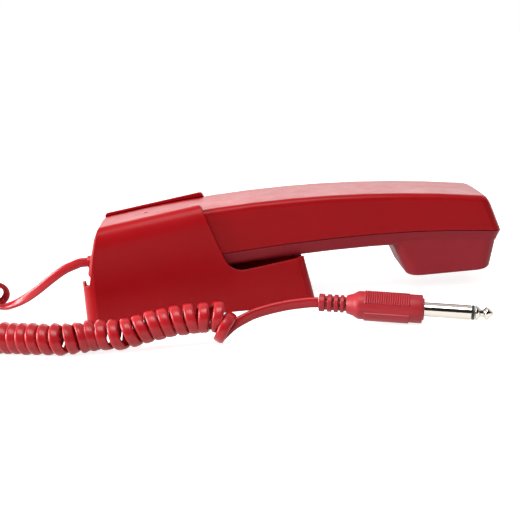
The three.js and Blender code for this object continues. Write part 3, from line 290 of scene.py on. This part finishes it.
# The last turn, drawn away from the others, and the straight tail; the turn lies in a plane across this axis.
drawnTurnAxis = Vector((0.8, -0.166, -0.576))
tailRoute = [
    (-38.1, -66.9, 6.3), (-36.9, -64.8, 7.1), (-35, -64.2, 8.2), (-33.1, -65.4, 9.7), (-32, -68.2, 11.4),
    (-31.8, -71.6, 12.3), (-32.5, -75.1, 12.3), (-33.8, -77.8, 11.1), (-35.6, -79.2, 8.9), (-37.1, -79, 6.3),
    (-38.1, -76.9, 4), (-38.4, -73.6, 2.6), (-37.7, -70.6, 2.6), (-35.6, -68.6, 3.8), (-33, -67.8, 5.6),
    (-30.2, -67, 7.1), (-26.5, -65.8, 8.4), (-21.7, -64, 9.7), (-16.2, -62.9, 10.6), (-10.7, -62.1, 11.2),
    (-5.3, -61.6, 11.6), (0, -61.4, 11.7), (3.7, -61.3, 11.7), (7.5, -61.44, 11.45)]
upright = Vector((0, 0, 1))
stepsBetweenPoints = 32  # of a smooth route


def spacedEvenly(points, count):
    reached = [0.0]
    for a, b in zip(points, points[1:]):
        reached.append(reached[-1] + (b - a).length)
    spaced, k = [], 0
    for i in range(count + 1):
        wanted = reached[-1] * i / count
        while k < len(points) - 2 and reached[k + 1] < wanted:
            k += 1
        spaced.append(points[k].lerp(points[k + 1], (wanted - reached[k]) / (reached[k + 1] - reached[k])))
    return spaced, reached[-1]


# A smooth line through listed points.
def smoothRoute(points, count):
    ends = [points[0] * 2 - points[1], *points, points[-1] * 2 - points[-2]]
    fine = [points[0]]
    for a, b, c, d in zip(ends, ends[1:], ends[2:], ends[3:]):
        ab, bc, cd = (max((q - p).length, 1e-6) ** 0.5 for p, q in ((a, b), (b, c), (c, d)))
        leave = ((b - a) / ab - (c - a) / (ab + bc) + (c - b) / bc) * bc
        arrive = ((c - b) / bc - (d - b) / (bc + cd) + (d - c) / cd) * bc
        for k in range(1, stepsBetweenPoints + 1):
            t = k / stepsBetweenPoints
            fine.append(b * (2 * t ** 3 - 3 * t * t + 1) + c * (3 * t * t - 2 * t ** 3)
                        + leave * (t ** 3 - 2 * t * t + t) + arrive * (t ** 3 - t * t))
    return spacedEvenly(fine, count)


def eased(t):
    t = min(1, max(0, t))
    return t * t * (3 - 2 * t)


# The middle line of the curly part, and at each point the direction of the flat cord's width: each turn is
# tilted like a shingle, its edge on the side of the lead lifted outwards.
def coilLine(look):
    radius = (look["diameter"] - look["thickness"]) / 2
    height = radius + look["thickness"] / 2 + look["tiltClearance"]
    samples, near, far = look["samples"], look["headingReach"], look["bendReach"]
    places, length = smoothRoute([Vector((x, y, height + lift)) for x, y, lift in coilRoute], samples)
    step = length / samples
    along = [(places[min(samples, k + near)] - places[max(0, k - near)]).normalized()
             for k in range(samples + 1)]
    # turns left to the plug end, at each sample; closed turns stand further apart in a bend
    left = [0.0] * (samples + 1)
    for k in range(samples - 1, -1, -1):
        number = int(left[k + 1])
        if number < len(look["openPitches"]):
            pitch = look["openPitches"][number]
        else:
            bend = along[max(0, k - far)].angle(along[min(samples, k + far)]) / (2 * far * step)
            pitch = look["closedPitch"] / (1 - bend * look["diameter"] / 2)
        left[k] = left[k + 1] + step / pitch
    print("turns that fit the coil: %.2f, made: %d" % (left[0], look["turns"]))
    count = look["turns"] * look["stepsPerTurn"]
    line, k = [], 0
    for i in range(count + 1):
        wanted = left[0] * (1 - i / count)
        while k < samples - 1 and left[k + 1] > wanted:
            k += 1
        centre = places[k].lerp(places[k + 1], (left[k] - wanted) / (left[k] - left[k + 1]))
        side = along[k].cross(upright).normalized()
        up = side.cross(along[k])
        turn = i / look["stepsPerTurn"]
        toGo = look["turns"] - turn
        angle = math.radians(-90) - 2 * math.pi * turn
        outward = side * math.cos(angle) + up * math.sin(angle)
        lean = look["lean"] * math.sqrt(max(0, 1 - toGo / look["leanTurns"]))
        shingled = eased(turn) * eased((toGo - look["flatTurns"]) / look["tiltingTurns"])
        tilt = math.radians(look["tilt"]) * shingled
        unevenness = look["uneven"] * (math.sin(look["unevenRhythm"] * turn) - 1)
        reach = radius + unevenness * eased(toGo) * eased(turn)
        line.append((centre + outward * reach + along[k] * lean * radius * math.sin(angle),
                     along[k] * math.cos(tilt) - outward * math.sin(tilt)))
    return line


# A flat cord swept through points; each point carries the direction that its wide side faces along.
def flatCord(name, line, look, material):
    shape = bmesh.new()
    rings = []
    for i, (point, wide) in enumerate(line):
        travel = (line[min(len(line) - 1, i + 1)][0] - line[max(0, i - 1)][0]).normalized()
        across = (wide - travel * wide.dot(travel)).normalized()
        out = across.cross(travel)
        ring = []
        for k in range(look["sectionSides"]):
            turned = 2 * math.pi * k / look["sectionSides"]
            parts = (math.cos(turned), look["width"]), (math.sin(turned), look["thickness"])
            a, b = (math.copysign(abs(part) ** look["squareness"], part) * size / 2 for part, size in parts)
            b -= math.copysign(look["grooveDepth"] * math.exp(-(a / look["grooveWidth"]) ** 2), b)
            ring.append(shape.verts.new((point + across * a + out * b) * mm))
        rings.append(ring)
    for first, second in zip(rings, rings[1:]):
        for k in range(len(first)):
            after = (k + 1) % len(first)
            shape.faces.new((first[k], first[after], second[after], second[k]))
    shape.faces.new(rings[0][::-1])
    shape.faces.new(rings[-1])
    bmesh.ops.recalc_face_normals(shape, faces=shape.faces)
    return addPiece(name, shape, material, sharp=look["sharp"])


def routeLength(line):
    return sum((b[0] - a[0]).length for a, b in zip(line, line[1:])) * mm


def makeCord(look, plugPieces):
    coil = coilLine(look)
    start = coil[0][0] + (coil[0][0] - coil[1][0]).normalized() * look["straight"]
    leadPoints = [grommetFace, *(Vector(p) for p in leadRoute), start, coil[0][0]]
    lead, _ = smoothRoute(leadPoints, look["leadPoints"])
    # The wide side stands upright on the lead and turns flat where the cord enters the coil.
    firstLine = [(p, upright.lerp(coil[0][1], eased((i - look["leadTurnsAt"]) / look["leadTurnsOver"])))
                 for i, p in enumerate(lead[:-1])]
    split = look["firstTurns"] * look["stepsPerTurn"]
    firstLine += coil[:split + 1]
    first = flatCord("cord_lead_and_first_turns", firstLine, look, cordPvc)
    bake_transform(first)
    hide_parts("cord_lead")

    last = coil[-1][0]
    onward = last + (last - coil[-2][0]).normalized() * look["straight"]
    tail, _ = smoothRoute([last, onward, *(Vector(p) for p in tailRoute)], look["tailPoints"])
    secondLine = coil[split:]
    for i, p in enumerate(tail[1:], 1):
        onDrawnTurn = coil[-1][1].lerp(drawnTurnAxis, eased(i / look["drawnTurnOver"]))
        flattened = eased((i - look["tailTurnsAt"]) / look["tailTurnsOver"])
        secondLine.append((p, onDrawnTurn.lerp(-upright, flattened)))
    second = flatCord("cord_coil_and_tail", secondLine, look, cordPvc)
    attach(second, "cradle")
    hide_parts("cord_coil", "cord_tail")
    print("cord: %.2f m" % (routeLength(firstLine) + routeLength(secondLine)))


# The shells, in millimetres and degrees: facets flatter than the first angle merge, and edges sharper than
# the second are broken. The third value of each shell is the width of its broken edge.
shellLook = {
    "weld": 0.002, "flatness": 0.4, "crisp": 28, "shortest": 0.05, "segments": 2,
    "shells": (("cradle_shell", "cradle", 0.5, redAbs), ("back_shell", "handset", 0.3, redAbs),
               ("front_shell", "handset", 0.3, dullAbs)),
}


# A solid's own shape with its facets merged and its crisp edges broken, as they are in a moulded part.
def mouldedCopy(node, body, edge, material, look):
    shape = bmesh.new()
    shape.from_mesh(nodes[node].data)
    bmesh.ops.remove_doubles(shape, verts=shape.verts, dist=look["weld"] * mm)
    bmesh.ops.dissolve_limit(shape, angle_limit=math.radians(look["flatness"]), verts=shape.verts,
                             edges=shape.edges)
    crisp = [e for e in shape.edges if e.is_manifold and e.calc_face_angle() > math.radians(look["crisp"])
             and e.calc_length() > look["shortest"] * mm]
    bmesh.ops.bevel(shape, geom=crisp, offset=edge * mm, offset_type="OFFSET", segments=look["segments"],
                    profile=0.5, affect="EDGES", clamp_overlap=True, material=-1)
    piece = addPiece(node + "_moulded", shape, material, body, (node,), sharp=look["crisp"])
    evenShading = piece.modifiers.new("even shading", "WEIGHTED_NORMAL")
    evenShading.keep_sharp = True


for node, body, edge, material in shellLook["shells"]:
    mouldedCopy(node, body, edge, material, shellLook)
print("shells made")


# The plug's moulding, in millimetres and degrees; distances run along it from the end of its boot.
plugLook = {
    "place": (7.799, -61.497, 11.418), "yaw": -10.5, "pitch": 6.56, "steps": 144, "weld": 0.0005, "sharp": 38,
    # the boot: its radius, the core at the bottom of its slots, and two bridges that cross the slots
    "bootRadius": 4, "bootCore": 1.7, "coreTolerance": 0.01, "edge": 0.25,
    "bridge": 3.2, "bridgeHalfAngle": 42, "bridgeFade": 5,
    "slots": ((2.6, 3.8), (5.8, 6.8), (8.65, 9.65), (11.3, 12.3)), "slotDraft": 0.03,
    "shoulder": ((12.35, 3.9), (12.6, 4.15), (15.6, 5.1), (16, 5.4), (17.2, 6.1), (17.9, 6.32)),
    # the grip, with two pads that stand out from it; the upper one is ribbed
    "gripRadius": 6.35, "gripBeforePad": 1.5, "gripTolerance": 0.1,
    "padFrom": 20.3, "padTo": 40.2, "padHeight": 0.5, "padHalfAngle": 71, "padTop": 84,
    "padSideFade": 2, "padEndFade": 0.12, "padStep": 0.02,
    "ribs": 20, "ribDepth": 0.34, "ribSharpness": 0.7, "stepsPerRib": 8,
    # the collar's rounded rim, as distances back from its end and down from the grip, and the nose in front
    "collarTo": 46, "collarRim": ((0.6, 0), (0.2, 0.15), (0, 0.5)),
    "noseTo": 46.7, "noseRadius": 4.9, "noseStep": 0.03, "noseEdge": 0.2,
    "bore": 3.475, "boreFrom": 32,
}
contactLook = {
    "radius": 3.175, "sleeve": (32.4, 67.3), "edge": 0.12,
    "tip": ((68.9, 0), (68.9, 3), (69.05, 3.15), (69.9, 3.17), (70.1, 3.05), (71.1, 1.9), (71.4, 1.72),
            (72.6, 1.72), (72.8, 1.9), (73.4, 2.62), (73.9, 2.8), (74.4, 2.75), (76.4, 0.95), (76.8, 0.5),
            (77, 0)),
}


# A profile of (distance, radius) points turned about the plug's axis and set in its place.
def turnedPiece(name, profile, look, material, node, swell=None):
    shape = bmesh.new()
    points = [shape.verts.new((x * mm, 0, r * mm)) for x, r in profile]
    edges = [shape.edges.new(pair) for pair in zip(points, points[1:])]
    bmesh.ops.spin(shape, geom=points + edges, cent=(0, 0, 0), axis=(1, 0, 0), angle=2 * math.pi,
                   steps=look["steps"], use_merge=True)
    bmesh.ops.remove_doubles(shape, verts=shape.verts, dist=look["weld"] * mm)
    if swell:
        for vertex in shape.verts:
            radius = math.hypot(vertex.co.y, vertex.co.z)
            angle = math.degrees(math.atan2(vertex.co.z, vertex.co.y))
            more = swell(look, vertex.co.x / mm, angle, radius / mm) * mm
            if more > 0:
                vertex.co.y, vertex.co.z = (v * (radius + more) / radius for v in (vertex.co.y, vertex.co.z))
    bmesh.ops.recalc_face_normals(shape, faces=shape.faces)
    place = (Matrix.Translation(Vector(look["place"]) * mm)
             @ Matrix.Rotation(math.radians(look["yaw"]), 4, "Z")
             @ Matrix.Rotation(math.radians(look["pitch"]), 4, "Y"))
    bmesh.ops.transform(shape, matrix=place, verts=shape.verts)
    return addPiece(name, shape, material, "cradle", (node,), sharp=look["sharp"])


# How far the pads stand out from the grip, and the bridges from the core of the boot.
def plugSwell(look, x, angle, radius):
    if abs(radius - look["bootCore"]) < look["coreTolerance"]:
        away = min(abs((angle - look["padTop"] - turned + 180) % 360 - 180) for turned in (0, 180))
        return (look["bridge"] - radius) * eased((look["bridgeHalfAngle"] - away) / look["bridgeFade"])
    if not look["padFrom"] <= x <= look["padTo"] or radius < look["gripRadius"] - look["gripTolerance"]:
        return 0
    fromEnd = min(x - look["padFrom"], look["padTo"] - x)
    swell = 0
    for centre, ribbed in ((look["padTop"], True), (look["padTop"] - 180, False)):
        away = abs((angle - centre + 180) % 360 - 180)
        rise = (eased((look["padHalfAngle"] - away) / look["padSideFade"])
                * eased(fromEnd / look["padEndFade"]))
        height = look["padHeight"]
        if ribbed:
            wave = 0.5 - 0.5 * math.cos(2 * math.pi * look["ribs"] * (x - look["padFrom"])
                                        / (look["padTo"] - look["padFrom"]))
            height -= look["ribDepth"] * (1 - wave ** look["ribSharpness"])
        swell += rise * height
    return swell


def makePlug(look, contact):
    boot, rounded = look["bootRadius"], look["bootRadius"] - look["edge"]
    core, draft = look["bootCore"], look["slotDraft"]
    profile = [(0, 0), (0, rounded), (look["edge"], boot)]
    for start, end in look["slots"]:
        profile += [(start - look["edge"], boot), (start, rounded)]
        profile += [(start + draft, core), (end - draft, core)]
        if (start, end) != look["slots"][-1]:
            profile += [(end, rounded), (end + look["edge"], boot)]
    grip, padFrom, padTo = look["gripRadius"], look["padFrom"], look["padTo"]
    profile += [*look["shoulder"], (padFrom - look["gripBeforePad"], grip), (padFrom - look["padStep"], grip)]
    count = look["ribs"] * look["stepsPerRib"]
    length = padTo - padFrom
    profile += [(padFrom + length * k / count, grip) for k in range(count + 1)]
    profile += [(padTo + look["padStep"], grip)]
    profile += [(look["collarTo"] - back, grip - down) for back, down in look["collarRim"]]
    nose, edge = look["noseRadius"], look["noseEdge"]
    profile += [(look["collarTo"] + look["noseStep"], nose), (look["noseTo"] - edge, nose),
                (look["noseTo"], nose - edge), (look["noseTo"], look["bore"]),
                (look["boreFrom"], look["bore"]), (look["boreFrom"], 0)]
    body = turnedPiece("plug_body_moulded", profile, look, plugPvc, "plug_body", plugSwell)
    radius, edge = contact["radius"], contact["edge"]
    start, end = contact["sleeve"]
    sleeve = [(start, 0), (start, radius - edge), (start + edge, radius), (end - edge, radius),
              (end, radius - edge), (end, 0)]
    return [body, turnedPiece("plug_sleeve_turned", sleeve, look, nickelPlate, "plug_sleeve"),
            turnedPiece("plug_tip_turned", contact["tip"], look, nickelPlate, "plug_tip"),
            nodes["plug_insulator"]]


makeCord(cordLook, makePlug(plugLook, contactLook))
print("plug and cord made")


# The solids that keep their shape.
paint = {
    "wall_plate": redAbs, "cord_grommet": cordPvc, "plug_insulator": blackPlastic,
    "plate_screw_1": steelPlate, "plate_screw_2": steelPlate, "plate_screw_3": steelPlate,
    "plate_screw_4": steelPlate, "shell_screw_1": steelPlate, "shell_screw_2": steelPlate,
    "hook_magnet": steelPlate, "balance_weight": steelPlate, "reed_switch": drawnGlass,
    "receiver_capsule": blackPlastic, "receiver_gasket": foam, "earpiece_cloth": cloth,
    "microphone_capsule": steelPlate, "microphone_boot": rubber,
    "circuit_board": boardLaminate, "cord_terminal": creamNylon,
}
for name, material in paint.items():
    paintNode(name, material)
print("solids painted")


# Metres and watts. The floor shows white to the camera and to reflections, and keeps the phone's shadow.
studio = {
    "floorSize": 6.0, "floorDrop": 0.0002, "floorColour": "#c8c8c8", "floorGlow": 0.84,
    # light from all round, and how bright the room on the camera's side is in reflections
    "fill": 0.39, "nearSide": 0.03, "roomRange": (-0.35, 0.3),
    "lamps": {
        "overhead softbox": {
            "place": (-0.05, -0.3, 0.7), "target": (0, 0, 0), "size": (0.5, 0.35), "power": 5.5},
        "back softbox": {
            "place": (0.0, 1.3, 0.55), "target": (0, 0, 0.02), "size": (2.2, 0.5), "power": 9},
        "left softbox": {
            "place": (-1.0, -0.04, 0.3), "target": (0, 0, 0.02), "size": (0.6, 0.5), "power": 22},
    },
}


def addFloor(settings):
    shape = bmesh.new()
    bmesh.ops.create_grid(shape, x_segments=2, y_segments=2, size=settings["floorSize"] / 2)
    bmesh.ops.translate(shape, verts=shape.verts, vec=(0, 0, -settings["floorDrop"]))
    # Matt white paper: an even diffuse sheet.
    material = emptyMaterial("matt white paper")
    rays = addNode(material, "LightPath")
    seen = addNode(material, "Math", {"operation": "MAXIMUM"},
                   {0: rays.outputs["Is Camera Ray"], 1: rays.outputs["Is Glossy Ray"]})
    seenThrough = addNode(material, "Math", {"operation": "MAXIMUM"},
                          {0: seen.outputs[0], 1: rays.outputs["Is Transmission Ray"]})
    strength = addNode(material, "Math", {"operation": "MULTIPLY", 1: settings["floorGlow"]},
                       {0: seenThrough.outputs[0]})
    paper = addNode(material, "BsdfDiffuse", {"Color": toLinear(settings["floorColour"])})
    glow = addNode(material, "Emission", {"Color": (1, 1, 1, 1)}, {"Strength": strength.outputs[0]})
    both = addNode(material, "AddShader", links={0: paper.outputs[0], 1: glow.outputs[0]})
    finishMaterial(material, both)
    floor = addPiece("floor", shape, material)


def addWorld(settings):
    world = bpy.data.worlds.new("white studio")
    world.use_nodes = True
    world.node_tree.nodes.clear()
    rays = addNode(world, "LightPath")
    direction = addNode(world, "TexCoord").outputs["Generated"]
    parts = addNode(world, "SeparateXYZ", links={"Vector": direction})
    # Reflections see the white backdrop on the far side and a dimmer room on the near side.
    room = addNode(world, "MapRange",
                   {"From Min": settings["roomRange"][0], "From Max": settings["roomRange"][1],
                    "To Min": settings["nearSide"], "To Max": 1.0, "interpolation_type": "SMOOTHSTEP"},
                   {"Value": parts.outputs["Y"]})
    mirror = addNode(world, "Math", {"operation": "MAXIMUM"},
                     {0: rays.outputs["Is Glossy Ray"], 1: rays.outputs["Is Transmission Ray"]})
    ambient = addNode(world, "Mix", {"data_type": "FLOAT", "A": settings["fill"]},
                      {"Factor": mirror.outputs[0], "B": room.outputs[0]})
    strength = addNode(world, "Mix", {"data_type": "FLOAT", "B": 1.0},
                       {"Factor": rays.outputs["Is Camera Ray"], "A": ambient.outputs[0]})
    light = addNode(world, "Background", {"Color": (1, 1, 1, 1)}, {"Strength": strength.outputs[0]})
    addNode(world, "OutputWorld", links={"Surface": light.outputs[0]})
    bpy.context.scene.world = world


def addLamp(name, settings):
    data = bpy.data.lights.new(name, "AREA")
    data.shape = "RECTANGLE"
    data.size, data.size_y = settings["size"]
    data.energy = settings["power"]
    lamp = bpy.data.objects.new(name, data)
    place = Vector(settings["place"])
    turn = (Vector(settings["target"]) - place).to_track_quat("-Z", "Y").to_matrix().to_4x4()
    lamp.matrix_world = Matrix.Translation(place) @ turn
    bpy.context.scene.collection.objects.link(lamp)


addFloor(studio)
addWorld(studio)
for name, settings in studio["lamps"].items():
    addLamp(name, settings)
print("studio lit")
